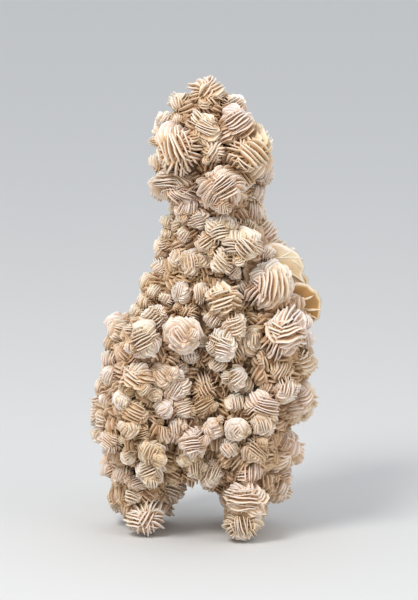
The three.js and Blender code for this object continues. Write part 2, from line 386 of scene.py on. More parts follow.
# Rings on a blade's and a plate's faces, in bevels from the rim. None goes further in than a share of
# the way to the middle.
BLADE_RINGS = [1]
DISC_RINGS = [1, 2.2, 5]
FIRST_RING = 0.4
NEXT_RING = 0.2  # added to that share for each further ring

# Points round a rim: up to a radius, how many.
RIM_STEPS = [(10, 9), (18, 12), (math.inf, 16)]
FILLER_STEPS = 8
RIB_STEPS = 16
PLATE_STEPS = 28

# Filler rosettes in the gaps.
FILLERS = [[15, 10, 14], [9, 6, 8]]  # space between the places tried, least and greatest radius
FILLER_SINK = 0.55  # how deep its middle lies, against its radius
FILLER_OVERLAP = 0.25  # the most of its radius that its place may lie inside another rosette
# At the back, fillers smaller than this stand only at places at least BACK_GAP outside all rosettes.
LEAST_BACK_FILLER = 9
BACK_GAP = -0.5
CORE_RANGES = [[BODY, 58, 386], [LEFT_LEG, 6, 54], [RIGHT_LEG, 6, 54]]  # trunk, lowest, highest
CORE_RISE = 0.15  # how much a filler looks up
FLANK_SHARE = 0.8  # how far up and down a swelling its flanks are tried
FLANK_BEHIND = 3  # how far behind the front surface a place on a flank may lie

# How a rosette's packets lie: the space between blades against the usual one, how far the packet that
# faces out takes over from the others, then how the others' edges run, and its scatter, in degrees: 0 is
# round the rosette and 90 straight away from its middle.
STYLES = {
    "mixed": (1.0, 0.05, 90, 62),
    "fine": (0.85, 0.05, 90, 55),
    "coarse": (1.4, 0.12, 90, 50),
    "fan": (1.15, 0.3, 90, 60),
    "swirl": (1.0, -0.15, 12, 20),
    "star": (1.25, -0.15, 90, 18),
    "filler": (1.7, 0.1, 90, 60),
}

# Colours, linear. The first is a rim's; the second is the white of frost and of painted light from above,
# on faces that look up in the open.
# DEPTH_COLOURS are what depth in a groove multiplies the colour by: browner and darker further in, partly
# the gypsum's own amber and brown, partly painted shade.
RIM_COLOUR = np.array([0.885, 0.802, 0.735])
FROST_AND_TOP_LIGHT_COLOUR = np.array([0.90, 0.86, 0.82])
DEEPEST = 12.0  # millimetres, where the last colour is reached
DEPTH_COLOURS = [
    (0.0, (1.0, 1.0, 1.0)),
    (0.7, (0.98, 0.96, 0.93)),
    (1.8, (0.90, 0.82, 0.72)),
    (4.0, (0.78, 0.64, 0.48)),
    (7.5, (0.56, 0.40, 0.26)),
    (12.0, (0.30, 0.18, 0.10)),
]
# Tints: what they multiply a colour by, and how many millimetres of depth they add to the look, which
# darkens it.
# Brown is partly iron staining and partly painted shade, for the sunk fillers and the front rosettes deep
# in the gaps.
TINTS = {
    "cream": ((1.0, 1.0, 1.0), 0.0),
    "white": ((1.01, 1.03, 1.06), -0.5),
    "rose": ((1.01, 0.97, 0.98), 0.0),
    "amber": ((1.0, 0.97, 0.88), 0.6),
    "honey": ((1.0, 0.86, 0.5), 0.3),
    "brown": ((0.90, 0.83, 0.74), 1.4),
}
RIM_TINT = 0.4  # the share of its tint that a rim has
TINTED_DEPTH = 2.5  # where a face has all of it
HEMMED_SHADE_DEPTH = 3.8  # painted shade: what close neighbours add to the depth, so the colour darkens between rosettes
HEMMED_RANGE = (-3, 4)  # a neighbour's skin so near hems a point in wholly, or not at all
FROST_AND_TOP_LIGHT_DEPTH = 0.35  # how much of the depth's darkening the whitening on upward faces takes away
FROST_AND_TOP_LIGHT_RANGE = (0.1, 0.95)  # how far up a surface looks where the whitening starts and is full: frost of fine crystals together with painted light from above
BARE_EDGE = (1.8, 4.6)  # at these depths a plate turns from its rim's colour to its own
BRIGHTEST = 0.95
FAR = 1e3  # further than any neighbour

# The material: noises as waves a metre and detail, the mottling's range and shades, the colours of the
# warmer patches, and the grain's strength and height in metres.
MOTTLE = (130, 3)
MOTTLE_RANGE = (0.3, 0.7)
MOTTLE_SHADES = (0.88, 1.04)
PATCHES = (28, 2)
PATCH_COLOURS = [(0.35, (1.0, 0.97, 0.97)), (0.65, (1.0, 0.98, 0.88))]
GRAIN = (1400, 2)
GRAIN_STRENGTH = 0.35
GRAIN_HEIGHT = 0.0004
GYPSUM = {
    "Roughness": 0.62,
    "Specular IOR Level": 0.35,
    "Subsurface Weight": 0.12,
    "Subsurface Radius": (1.0, 0.6, 0.35),
    "Subsurface Scale": 0.0015,
}

# The core inside.
CORE_DEPTH = 8.0  # how deep its colour looks: brown, partly the gypsum's own and partly painted shade at the bottom of the gaps
CORE_SIDES = 20
CORE_INSET = 7
SWELLING_INSET = 8
LEAST_WIDTH = 2  # half a ring's, at least
CORE_BALL = 0.5  # against its rosette's radius
LEAST_WITH_BALL = 9  # a smaller rosette has none
CORE_FLOOR = 0.3

# The studio, in metres and watts.
FLOOR_SIZE = 20
FLOOR_COLOUR = (0.64, 0.64, 0.63, 1)
FLOOR_ROUGHNESS = 0.9
SKY_COLOUR = (0.92, 0.95, 1.0, 1)
SKY_STRENGTH = 0.84
# Lights: name, place, size, power, colour.
LIGHTS = [
    ("key", (-0.85, -1.35, 2.0), 0.7, 38, (1.0, 0.975, 0.95)),
    ("fill", (1.6, -1.4, 0.9), 1.2, 10, (0.95, 0.97, 1.0)),
]
LIT_POINT = Vector((0, 0, 0.18))

# The photograph's view: 10 degrees down, its frame 519.5 mm high at the object.
CAMERA_DISTANCE = 3.5
FRAME_HEIGHT = 0.5195
CAMERA_AIM = Vector((0.0037, 0, 0.2057))
SENSOR_HEIGHT = 36


def section_at(trunk, z):
    """Middle x, half width, middle y and half depth of a trunk at a height."""
    heights = [row[0] for row in trunk][::-1]
    return [np.interp(z, heights, [row[k] for row in trunk][::-1]) for k in range(1, 5)]


def trunk_at(x, z):
    if z > LEG_TOP:
        return BODY
    return LEFT_LEG if x < LEG_SPLIT_X else RIGHT_LEG


def front_of(x, z):
    """The core's front surface at a place, or its middle where the place is past its edge."""
    middle_x, width, middle_y, depth = section_at(trunk_at(x, z), z)
    across = (x - middle_x) / width
    y = middle_y - depth * math.sqrt(max(0.0, 1 - across * across))
    for sx, sy, sz, rx, ry, rz in SWELLINGS:
        inside = 1 - ((x - sx) / rx) ** 2 - ((z - sz) / rz) ** 2
        if inside > 0:
            y = min(y, sy - ry * math.sqrt(inside))
    return y


def height_of(seen, y):
    """The real height of a place whose height is as the tilted view shows it."""
    return (seen + (FRONT_FOOT_Y - y) * math.sin(VIEW_TILT)) / math.cos(VIEW_TILT)


def between(limits, share):
    low, high = limits
    return low + (high - low) * share


def row_for(radius, table):
    """The first row of a table whose limit is above a radius, without the limit."""
    return next(row[1:] for row in table if radius < row[0])


def either_way(rng, most):
    return rng.uniform(-most, most)


def scatter(i, k):
    """A fixed scatter between 0 and 1 for the numbers i and k."""
    wave = math.sin(i * 12.9898 + k * 78.233) * 43758.5453
    return wave - math.floor(wave)


def unit(vector):
    vector = np.asarray(vector, float)
    return vector / max(np.linalg.norm(vector), 1e-9)


def turned(vector, axis, angle):
    """A vector turned about a unit axis."""
    return (
        vector * math.cos(angle)
        + np.cross(axis, vector) * math.sin(angle)
        + axis * np.dot(axis, vector) * (1 - math.cos(angle))
    )


def each(rosettes, key):
    return np.array([r[key] for r in rosettes])


def rosette_at(centre, radius, out, edge, style, tint, group):
    """A rosette: its middle, radius, way out and main edges' direction, its looks and its piece."""
    return {
        "centre": centre, "radius": radius, "out": out, "edge": edge,
        "style": style, "tint": tint, "group": group,
    }


def outward(angle, rise):
    """The way out of the core at an angle round it."""
    return unit([math.cos(angle), math.sin(angle), rise])


def front_rosette(row, group):
    """A rosette from its row, set into the core's front surface."""
    x, seen, radius, lift, slope, *looks = row
    most = MOST_KNOB_STAND if radius < KNOB_RADIUS else MOST_STAND
    stand = min(STAND * radius + lift, most * radius)
    y, z = 0.0, seen
    for _ in range(SETTLING):
        y = front_of(x, z) - stand
        z = height_of(seen, y)
    middle_x = section_at(trunk_at(x, z), z)[0]
    angle = math.radians(slope)
    out = unit([OUT_ACROSS * (x - middle_x), OUT_FORWARD * min(y, LEAST_FORWARD), OUT_UP])
    edge = np.array([math.cos(angle), 0, math.sin(angle)])
    return rosette_at(np.array([x, y, z]) - CENTRE, radius * LUSH, out, edge, *(looks or PLAIN), group)


def back_rosettes():
    """Rows of rosettes round the sides and the back."""
    found = []
    for trunk, low, high in ROWS:
        for z in range(low, high + 1, ROW_PITCH):
            middle_x, width, middle_y, depth = section_at(trunk, z)
            arc = (width + depth) / 2 * math.radians(180 - 2 * ROW_START)
            count = max(2, math.floor(arc / RING_PITCH + 0.5))
            for i in range(count):
                seed = len(found) + 1
                share = (i + 0.5 + ROW_JITTER * (scatter(seed, 1) - 0.5)) / count
                angle = math.radians(ROW_START + (180 - 2 * ROW_START) * share)
                radius = LEAST_BACK_RADIUS + BACK_RADIUS_SPREAD * scatter(seed, 2) ** 2
                stand = STAND * radius + BACK_LIFT * scatter(seed, 3)
                reach = NARROW_REACH if NARROW_ROWS[0] < z < NARROW_ROWS[1] else SIDE_REACH
                centre = np.array([
                    middle_x + (width + reach - SIDE_SHARE * radius) * math.cos(angle),
                    middle_y + (depth + stand) * math.sin(angle),
                    z + ROW_SCATTER * (scatter(seed, 4) - 0.5),
                ])
                centre[2] = min(max(centre[2], FLOOR_SHARE * radius), BACK_TOP - radius)
                turn = math.pi * scatter(seed, 5)
                sideways = np.array([-math.sin(angle), math.cos(angle), 0])
                edge = sideways * math.cos(turn) + np.array([0, 0, math.sin(turn)])
                found.append(rosette_at(
                    centre - CENTRE, radius, outward(angle, BACK_RISE), edge,
                    BACK_STYLES[seed % len(BACK_STYLES)], BACK_TINTS[seed % len(BACK_TINTS)],
                    "back_low" if centre[2] < BACK_SPLIT else "back_high",
                ))
    return found


def core_points(grid):
    """Points all over the core, about a grid's width apart, with the way out there."""
    for trunk, low, high in CORE_RANGES:
        for z in range(low, high + 1, grid):
            middle_x, width, middle_y, depth = section_at(trunk, z)
            count = max(6, int(math.pi * (width + depth) / grid))
            for i in range(count):
                angle = 2 * math.pi * (i + scatter(i, z)) / count
                x = middle_x + width * math.cos(angle)
                y = middle_y + depth * math.sin(angle)
                if y < middle_y:
                    y = min(y, front_of(x, z))
                yield np.array([x, y, z]) - CENTRE, outward(angle, CORE_RISE)
    yield from flank_points(grid)


def flank_points(grid):
    """Points on the swellings where they stand out of the trunk, with the way out there."""
    for middle_x, middle_y, middle_z, across, deep, tall in SWELLINGS:
        z = middle_z - FLANK_SHARE * tall
        while z < middle_z + FLANK_SHARE * tall:
            share = math.sqrt(1 - ((z - middle_z) / tall) ** 2)
            count = max(4, int(math.pi * share * (across + deep) / 2 / grid))
            for i in range(count + 1):
                angle = math.pi * (1 + i / count)
                x = middle_x + across * share * math.cos(angle)
                y = middle_y + deep * share * math.sin(angle)
                trunk_x, width, trunk_y, depth = section_at(BODY, z)
                outside = ((x - trunk_x) / width) ** 2 + ((y - trunk_y) / depth) ** 2 > 1
                if outside and y < front_of(x, z) + FLANK_BEHIND:
                    yield np.array([x, y, z]) - CENTRE, outward(angle, CORE_RISE)
            z += grid


def bud_rosettes(rosettes):
    """A smaller rosette on each large front one's shoulder, none of them past the trunk's sides."""
    found = []
    for i, parent in enumerate(rosettes):
        if parent["radius"] < LEAST_PARENT or parent["style"] in BUDLESS:
            continue
        out = parent["out"]
        side = turned(unit(np.cross(out, [0, 0, 1])), out, 2 * math.pi * scatter(i, 20))
        tilt = math.radians(between(BUD_TILT, scatter(i, 30)))
        way = out * math.cos(tilt) + side * math.sin(tilt)
        radius = parent["radius"] * between(BUD_RADIUS, scatter(i, 40))
        centre = parent["centre"] + way * (parent["radius"] - BUD_SINK * radius)
        x, _, z = centre + CENTRE
        middle_x, width, _, _ = section_at(trunk_at(x, z), z)
        if abs(x - middle_x) > width - BUD_MARGIN or centre[2] < radius:
            continue
        edge = turned(parent["edge"], out, math.pi * scatter(i, 50))
        looks = BUD_STYLES[i % len(BUD_STYLES)], parent["tint"]
        found.append(rosette_at(centre, radius, unit(out + way), edge, *looks, parent["group"]))
    return found


def filler_rosettes(rosettes):
    """Sunk rosettes where the core would show between the others: large ones, then small ones."""
    found = []
    centres = [r["centre"] for r in rosettes]
    radii = [r["radius"] for r in rosettes]
    for grid, *limits in FILLERS:
        for i, (place, out) in enumerate(core_points(grid)):
            radius = between(limits, scatter(i, 7))
            clear = np.linalg.norm(np.array(centres) - place, axis=1) - np.array(radii)
            least = -FILLER_OVERLAP * radius
            if radius < LEAST_BACK_FILLER and place[1] > 0:
                least = BACK_GAP
            if clear.min() < least:
                continue
            centre = place - FILLER_SINK * radius * out
            centre[2] = max(centre[2], FLOOR_SHARE * radius)
            turn = math.pi * scatter(i, 8)
            side = unit(np.cross(out, [0, 0, 1]))
            edge = side * math.cos(turn) + np.array([0, 0, math.sin(turn)])
            group = "gaps_front" if centre[1] < 0 else "gaps_back"
            # The brown tint: iron staining together with painted shade, for these sunk fillers deep in
            # the gaps.
            found.append(rosette_at(centre, radius, out, edge, "filler", "brown", group))
            centres.append(centre)
            radii.append(radius)
    return found


def packets_of(rosette, rng):
    """Where each packet faces, how its edges run, its size and its spread, the main one first."""
    _, spread, swing, swing_scatter = STYLES[rosette["style"]]
    out = rosette["out"]
    edge = unit(rosette["edge"] - np.dot(rosette["edge"], out) * out)
    found = [(out, edge, 1.0, spread)]
    table = BACK_PACKETS if rosette["group"].startswith("back") else FRONT_PACKETS
    if rosette["style"] == "filler":
        table = FILLER_PACKETS
    count, lean = row_for(rosette["radius"], table)
    start = rng.uniform(0, 2 * math.pi)
    for k in range(count):
        azimuth = start + 2 * math.pi * (k + either_way(rng, PLACE_SCATTER)) / count
        side = turned(edge, out, azimuth)
        tilt = math.radians(lean + either_way(rng, TILT_SCATTER))
        facing = unit(out * math.cos(tilt) + side * math.sin(tilt))
        across = np.cross(out, side)
        away = np.cross(across, facing)
        run = math.radians(swing + either_way(rng, 1) * swing_scatter)
        along = unit(across * math.cos(run) + away * math.sin(run))
        found.append((facing, along, rng.uniform(*PACKET_SIZE), 0.0))
    return found


def squeeze_of(rosette, rng):
    """A matrix that makes the rosette a little longer one way and flatter another."""
    first = rosette["out"]
    second = unit(np.cross(first, ASKEW))
    axes = [first, second, np.cross(first, second)]
    sizes = [rng.uniform(*limits) for limits in (SQUEEZE_OUT, SQUEEZE_ACROSS, SQUEEZE_ACROSS)]
    return sum(size * np.outer(axis, axis) for size, axis in zip(sizes, axes))


def blade(owner, hub, out, along, reach, half, rim, core, packet=0, bevel=BEVEL, dive=1, bare=0, dish=0):
    """One lens-shaped blade: its rosette, its middle, the way its rim looks and its edge runs, its sizes.

    Dive is 0 where other packets leave it as it is. Bare is how deep its faces' colour looks at most, or
    0 where its true depth counts.
    """
    return {
        "owner": owner, "hub": hub, "out": out, "along": along, "reach": reach, "half": half, "rim": rim,
        "core": core, "packet": packet, "bevel": bevel, "dive": dive, "bare": bare, "dish": dish,
    }


def grow_rosette(rows, index, rosette, rng):
    """Adds the blades of a rosette, and gives the rosette its packets' borders."""
    radius = rosette["radius"]
    pitch = (BLADE_PITCH + PITCH_GROWTH * radius) * STYLES[rosette["style"]][0]
    if rosette["group"].startswith("back"):
        pitch *= BACK_PITCH
    packets = packets_of(rosette, rng)
    unused = MOST_PACKETS - len(packets)
    rosette["facings"] = np.array([p[0] for p in packets] + [rosette["out"]] * unused)
    rosette["spreads"] = np.array([p[3] for p in packets] + [-1.0] * unused)
    rosette["squeeze"] = squeeze_of(rosette, rng)
    for number, (facing, along, size, spread) in enumerate(packets):
        full = radius * size
        fan = (PACKET_FAN + SPREAD_TO_FAN * spread) * rng.uniform(*FAN_FACTOR)
        count = max(4, int(round(2 * math.sin(fan) * full / pitch)) + 1)
        half_all = rng.uniform(*PACKET_HALF) * full
        for k in range(count):
            place = math.sin(fan) * (-1 + 2 * (k + either_way(rng, BLADE_PLACE)) / (count - 1))
            turn = math.asin(max(-1.0, min(1.0, place)))
            reach = full * rng.uniform(*BLADE_REACH)
            top = turned(facing, along, turn) * reach
            out = turned(facing, along, LEAN_SHARE * turn)
            axis = turned(along, out, either_way(rng, BLADE_TURN))
            axis = turned(axis, np.cross(out, axis), either_way(rng, BLADE_LEAN))
            out = unit(out - np.dot(out, axis) * axis)
            hub = top - out * (1 - HUB_SHARE) * reach + axis * either_way(rng, BLADE_SHIFT) * radius
            half = half_all * math.sqrt(math.cos(turn)) * rng.uniform(*BLADE_HALF)
            rim = RIM_TO_PITCH * pitch * rng.uniform(*RIM_FACTOR)
            core = HUB_TO_PITCH * pitch * rng.uniform(*HUB_FACTOR)
            rows.append(blade(index, hub, out, axis, reach * (1 - HUB_SHARE), half, rim, core, number))


def plate_normal(right, back):
    """Which way a plate of the wide rose looks."""
    normal = turned(np.array([0.0, -1.0, 0.0]), np.array([1.0, 0, 0]), -math.radians(back))
    return turned(normal, np.array([0, 0, 1.0]), math.radians(right))


def wide_rose(rows, ribs, index, rosette):
    """One broad plate of the wide rose, and the straight ribs across it."""
    x, y, z, radius, right, back, face_depth, _ = PLATES[rosette["plate"]]
    middle = np.array([x, y, z])
    normal = plate_normal(right, back)
    out = unit(np.cross([0, 0, 1.0], -normal))
    along = unit(np.cross(normal, out))
    hub = middle - CENTRE - rosette["centre"]
    rows.append(blade(index, hub, out, along, radius, radius, dive=0, bare=face_depth, **PLATE_SIZES))
    for number, *ends in RIBS:
        if number != rosette["plate"]:
            continue
        places = []
        for end_x, seen in (ends[:2], ends[2:]):
            end_z = height_of(seen, y)
            end_y = y - (normal[0] * (end_x - x) + normal[2] * (end_z - z)) / normal[1]
            places.append(np.array([end_x, end_y, end_z]))
        length = np.linalg.norm(places[1] - places[0])
        along = (places[1] - places[0]) / length
        out = unit(normal - np.dot(normal, along) * along)
        hub = (places[0] + places[1]) / 2 - out * (RIB_DEPTH - RIB_STAND) - CENTRE - rosette["centre"]
        ribs.append(blade(index, hub, out, along, RIB_DEPTH, RIB_SHARE * length, dive=0, **RIB_SIZES))


def rim_angles(steps, whole):
    """Angles round a rim: even on a whole disc, else close together outside and wide where buried."""
    if whole:
        return np.linspace(-math.pi, math.pi, steps, endpoint=False)
    span = math.radians(RIM_SPAN)
    outer = np.linspace(-span, span, steps - 1)
    return np.append(outer, math.pi)


def rim_lines(part, steps, whole, rosettes, rng):
    """Each blade's rim from its rosette's middle, ragged and warped, and how far it dives."""
    hub, out, along = part["hub"], part["out"], part["along"]
    normal = np.cross(out, along)
    angles = rim_angles(steps, whole)
    phase = rng.uniform(0, 2 * math.pi, (len(hub), 3, 1))
    wave = RIM_WAVE * np.sin(2 * angles + phase[:, 0]) + RIM_WAVE * np.sin(5 * angles + phase[:, 1])
    ragged = 1 + wave + rng.normal(0, RAGGEDNESS, (len(hub), steps))
    if not whole:
        corner = np.abs(np.cos(angles)) ** SQUARENESS + np.abs(np.sin(angles)) ** SQUARENESS
        ragged *= corner ** (-1 / SQUARENESS)
    radial = np.cos(angles) * part["reach"][:, None] * ragged
    lateral = np.sin(angles) * part["half"][:, None] * ragged
    warp = RIM_WARP * part["reach"][:, None] * np.sin(2 * angles + phase[:, 2])
    line = (
        hub[:, None, :]
        + out[:, None, :] * radial[..., None]
        + along[:, None, :] * lateral[..., None]
        + normal[:, None, :] * warp[..., None]
    )
    # Where another packet faces a point more nearly, the blade dives under that packet.
    owner = part["owner"].astype(int)
    facings = each(rosettes, "facings")[owner]
    spreads = each(rosettes, "spreads")[owner]
    direction = line / np.maximum(np.linalg.norm(line, axis=2, keepdims=True), 1e-6)
    weight = np.einsum("bkc,bsc->bsk", facings, direction) + spreads[:, None, :]
    own = np.take_along_axis(weight, part["packet"].astype(int)[:, None, None], axis=2)[..., 0]
    dive = np.clip((weight.max(axis=2) - own - DIVE_START) * DIVE_RATE, 0, DEEPEST_DIVE)
    dive *= part["dive"][:, None]
    return line * (1 - dive)[..., None], dive * np.linalg.norm(line, axis=2)


def swayed(points):
    """The points moved by slow waves in every direction, whose odd numbers keep them out of step."""
    moved = points.copy()
    for axis in range(3):
        for length in SWAY_LENGTHS:
            wave = 2 * math.pi / length
            first, second = (axis + 1) % 3, (axis + 2) % 3
            phase = points[:, first] * wave + 1.7 * np.sin(0.6 * wave * points[:, second] + axis)
            moved[:, axis] += 0.5 * SWAY * np.sin(phase + 2.1 * axis) * length / SWAY_LENGTHS[0]
    return moved


def out_of_sight(line, owner, rosettes):
    """Which blades lie wholly inside the core, the floor or other rosettes."""
    centres = each(rosettes, "centre")
    radii = each(rosettes, "radius")
    depth = np.linalg.norm(line - centres[owner][:, None, :], axis=2) / radii[owner][:, None]
    inside = (depth < OWN_DEPTH) | (line[..., 2] < UNDER_FLOOR)
    middle_x, width, middle_y, back = section_at(BODY, line[..., 2])
    across = (line[..., 0] + CENTRE[0] - middle_x) / np.maximum(width - BURIED, 1)
    along = (line[..., 1] + CENTRE[1] - middle_y) / np.maximum(back - BURIED, 1)
    inside |= (across**2 + along**2 < 1) & (line[..., 2] > LEG_TOP)
    for k in range(len(rosettes)):
        if rosettes[k]["group"] == "wide_rose":
            continue
        deep = np.linalg.norm(line - centres[k], axis=2) < HIDDEN_DEPTH * radii[k]
        inside |= deep & (owner != k)[:, None]
    return inside.all(axis=1)


def blade_faces(steps, rings):
    """Triangles of one blade: its rim, then rings on both faces, then a middle point on each face."""
    here = np.arange(steps)
    after = (here + 1) % steps
    faces = []
    outer_top = outer_bottom = 0
    for ring in range(rings):
        top, bottom = steps * (1 + 2 * ring), steps * (2 + 2 * ring)
        faces += [
            np.stack([outer_top + here, outer_top + after, top + after], axis=1),
            np.stack([outer_top + here, top + after, top + here], axis=1),
            np.stack([outer_bottom + here, bottom + here, bottom + after], axis=1),
            np.stack([outer_bottom + here, bottom + after, outer_bottom + after], axis=1),
        ]
        outer_top, outer_bottom = top, bottom
    middle = steps * (1 + 2 * rings)
    top, bottom = np.full(steps, middle), np.full(steps, middle + 1)
    faces.append(np.stack([outer_top + here, outer_top + after, top], axis=1))
    faces.append(np.stack([outer_bottom + after, outer_bottom + here, bottom], axis=1))
    return np.concatenate(faces)


def blade_mesh(rows, steps, whole, rosettes, rng):
    """Vertices, faces, depth below the rim and rosette number of bevelled lens-shaped blades."""
    part = {key: np.array([row[key] for row in rows], float) for key in rows[0]}
    owner = part["owner"].astype(int)
    line, sunk = rim_lines(part, steps, whole, rosettes, rng)
    hub = part["hub"][:, None, :]
    normal = np.cross(part["out"], part["along"])[:, None, :]
    rim, core, dish = (part[key][:, None, None] for key in ("rim", "core", "dish"))
    inward = hub - line
    length = np.maximum(np.linalg.norm(inward, axis=2, keepdims=True), 1e-6)
    levels = DISC_RINGS if whole else BLADE_RINGS
    points = [line]
    depths = [sunk]
    for number, bevels in enumerate(levels):
        most = FIRST_RING + NEXT_RING * number
        inner = np.minimum(part["bevel"][:, None, None] * bevels / length, most)
        place = line + inward * inner + normal * dish * (1 - (1 - inner) ** 2)
        lift = normal * (rim + (core - rim) * inner * (number > 0)) / 2
        points += [place + lift, place - lift]
        depths += [sunk + (inner * length)[..., 0]] * 2
    middle = hub + normal * dish
    points = np.concatenate(points + [middle + normal * core / 2, middle - normal * core / 2], axis=1)
    depths = np.concatenate(depths + [length.mean(axis=1)] * 2, axis=1)
    bare = part["bare"][:, None]
    depths = np.where(bare > 0, bare * smooth(depths, *BARE_EDGE), depths)
    squeezes = each(rosettes, "squeeze")[owner]
    centres = each(rosettes, "centre")[owner]
    points = np.einsum("bij,bsj->bsi", squeezes, points) + centres[:, None, :]
    seen = ~out_of_sight(points[:, :steps], owner, rosettes)
    points, owner, depths = points[seen], owner[seen], depths[seen]
    count, size = points.shape[:2]
    faces = blade_faces(steps, len(levels))
    all_faces = (faces[None] + np.arange(count)[:, None, None] * size).reshape(-1, 3)
    return points.reshape(-1, 3), all_faces, depths.ravel(), np.repeat(owner, size)


def smooth(value, low, high):
    share = np.clip((value - low) / (high - low), 0, 1)
    return share * share * (3 - 2 * share)


def colours(points, depth, owner, rosettes):
    """Each point's colour, whiter where it looks up in the open (frost of fine crystals, and painted
    light from above), and how deep it looks, which the material turns into darker brown (partly the
    gypsum's own colour, partly painted shade).
    """
    centres = each(rosettes, "centre")
    radii = each(rosettes, "radius")
    tint = np.array([TINTS[r["tint"]][0] for r in rosettes])[owner]
    extra = np.array([TINTS[r["tint"]][1] for r in rosettes])[owner]
    offset = points - centres[owner]
    distance = np.linalg.norm(offset, axis=1)
    nearest = np.full(len(points), FAR)
    for k in range(len(rosettes)):
        if rosettes[k]["group"] == "wide_rose":
            continue
        gap = np.linalg.norm(points - centres[k], axis=1) - radii[k]
        gap[owner == k] = FAR
        np.minimum(nearest, gap, out=nearest)
    # Painted shade: points close to another rosette's skin count as deeper, so darker and browner, and
    # they lose the whitening.
    hemmed = 1 - smooth(nearest, *HEMMED_RANGE)
    # Upward faces in the open turn whiter: partly frost of fine crystals, partly painted light from
    # above.
    frost_and_top_light = smooth(offset[:, 2] / np.maximum(distance, 1e-6), *FROST_AND_TOP_LIGHT_RANGE) * (1 - hemmed)
    colour = RIM_COLOUR + (FROST_AND_TOP_LIGHT_COLOUR - RIM_COLOUR) * frost_and_top_light[:, None]
    tinted = RIM_TINT + (1 - RIM_TINT) * smooth(depth, 0, TINTED_DEPTH)
    colour *= 1 + (tint - 1) * tinted[:, None]
    # Painted shade from close neighbours and each tint's extra depth darken the colour; the whitening on
    # upward faces lightens it.
    depth = (depth + HEMMED_SHADE_DEPTH * hemmed + extra) * (1 - FROST_AND_TOP_LIGHT_DEPTH * frost_and_top_light)
    return np.clip(colour, 0, BRIGHTEST), np.clip(depth, 0, DEEPEST)


def mesh_object(name, points, faces, colour, depth, material):
    mesh = bpy.data.meshes.new(name)
    mesh.vertices.add(len(points))
    mesh.vertices.foreach_set("co", (points * MM).astype(np.float32).ravel())
    mesh.loops.add(faces.size)
    mesh.loops.foreach_set("vertex_index", faces.astype(np.int32).ravel())
    mesh.polygons.add(len(faces))
    mesh.polygons.foreach_set("loop_start", np.arange(0, faces.size, 3, dtype=np.int32))
    mesh.polygons.foreach_set("loop_total", np.full(len(faces), 3, dtype=np.int32))
    mesh.update(calc_edges=True)
    layer = mesh.color_attributes.new("colour", "FLOAT_COLOR", "POINT")
    values = np.ones((len(points), 4), np.float32)
    values[:, :3] = colour
    layer.data.foreach_set("color", values.ravel())
    # Depth below the rim, which the material turns into browner, darker colour: partly the gypsum's own,
    # partly painted shade.
    below = mesh.attributes.new("depth", "FLOAT", "POINT")
    below.data.foreach_set("value", depth.astype(np.float32))
    mesh.materials.append(material)
    piece = bpy.data.objects.new(name, mesh)
    bpy.context.scene.collection.objects.link(piece)
    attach(piece, BODY_NAME)
    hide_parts(NODE)
    return piece


def noise(tree, place, scale, detail):
    node = tree.nodes.new("ShaderNodeTexNoise")
    node.inputs["Scale"].default_value = scale
    node.inputs["Detail"].default_value = detail
    tree.links.new(place, node.inputs["Vector"])
    return node.outputs["Fac"]


def ranged(tree, value, old, new):
    """A value moved from one range to another."""
    node = tree.nodes.new("ShaderNodeMapRange")
    for name, limit in zip(("From Min", "From Max", "To Min", "To Max"), (*old, *new)):
        node.inputs[name].default_value = limit
    tree.links.new(value, node.inputs["Value"])
    return node.outputs["Result"]


def ramp(tree, value, stops):
    """The colour that stops give a value."""
    node = tree.nodes.new("ShaderNodeValToRGB")
    while len(node.color_ramp.elements) < len(stops):
        node.color_ramp.elements.new(0.5)
    for stop, (place, colour) in zip(node.color_ramp.elements, stops):
        stop.position = place
        stop.color = (*colour, 1)
    tree.links.new(value, node.inputs["Fac"])
    return node.outputs["Color"]


def times(tree, colour, by, operation="MULTIPLY", socket=1):
    """A colour times another one, or a value with SCALE."""
    node = tree.nodes.new("ShaderNodeVectorMath")
    node.operation = operation
    tree.links.new(colour, node.inputs[0])
    tree.links.new(by, node.inputs[socket])
    return node.outputs["Vector"]


def gypsum_material():
    """Matt sugary gypsum: pale rims, grooves that turn amber and darker with depth (partly the gypsum's
    own colour, partly painted shade), mottling, warmer patches and a fine grain.
    """
    material = bpy.data.materials.new("gypsum")
    material.use_nodes = True
    tree = material.node_tree
    shader = tree.nodes["Principled BSDF"]
    base = tree.nodes.new("ShaderNodeVertexColor")
    base.layer_name = "colour"
    below = tree.nodes.new("ShaderNodeAttribute")
    below.attribute_name = "depth"
    place = tree.nodes.new("ShaderNodeTexCoord").outputs["Object"]
    # Depth below the rim picks a colour that grows browner and darker inwards: partly the gypsum's own
    # amber, partly painted shade.
    share = ranged(tree, below.outputs["Fac"], (0, DEEPEST), (0, 1))
    stops = [(depth / DEEPEST, colour) for depth, colour in DEPTH_COLOURS]
    grooved = times(tree, base.outputs["Color"], ramp(tree, share, stops))
    shade = ranged(tree, noise(tree, place, *MOTTLE), MOTTLE_RANGE, MOTTLE_SHADES)
    shaded = times(tree, grooved, shade, "SCALE", "Scale")
    warmth = ramp(tree, noise(tree, place, *PATCHES), PATCH_COLOURS)
    tree.links.new(times(tree, shaded, warmth), shader.inputs["Base Color"])
    bump = tree.nodes.new("ShaderNodeBump")
    bump.inputs["Strength"].default_value = GRAIN_STRENGTH
    bump.inputs["Distance"].default_value = GRAIN_HEIGHT
    tree.links.new(noise(tree, place, *GRAIN), bump.inputs["Height"])
    tree.links.new(bump.outputs["Normal"], shader.inputs["Normal"])
    for name, value in GYPSUM.items():
        shader.inputs[name].default_value = value
    return material


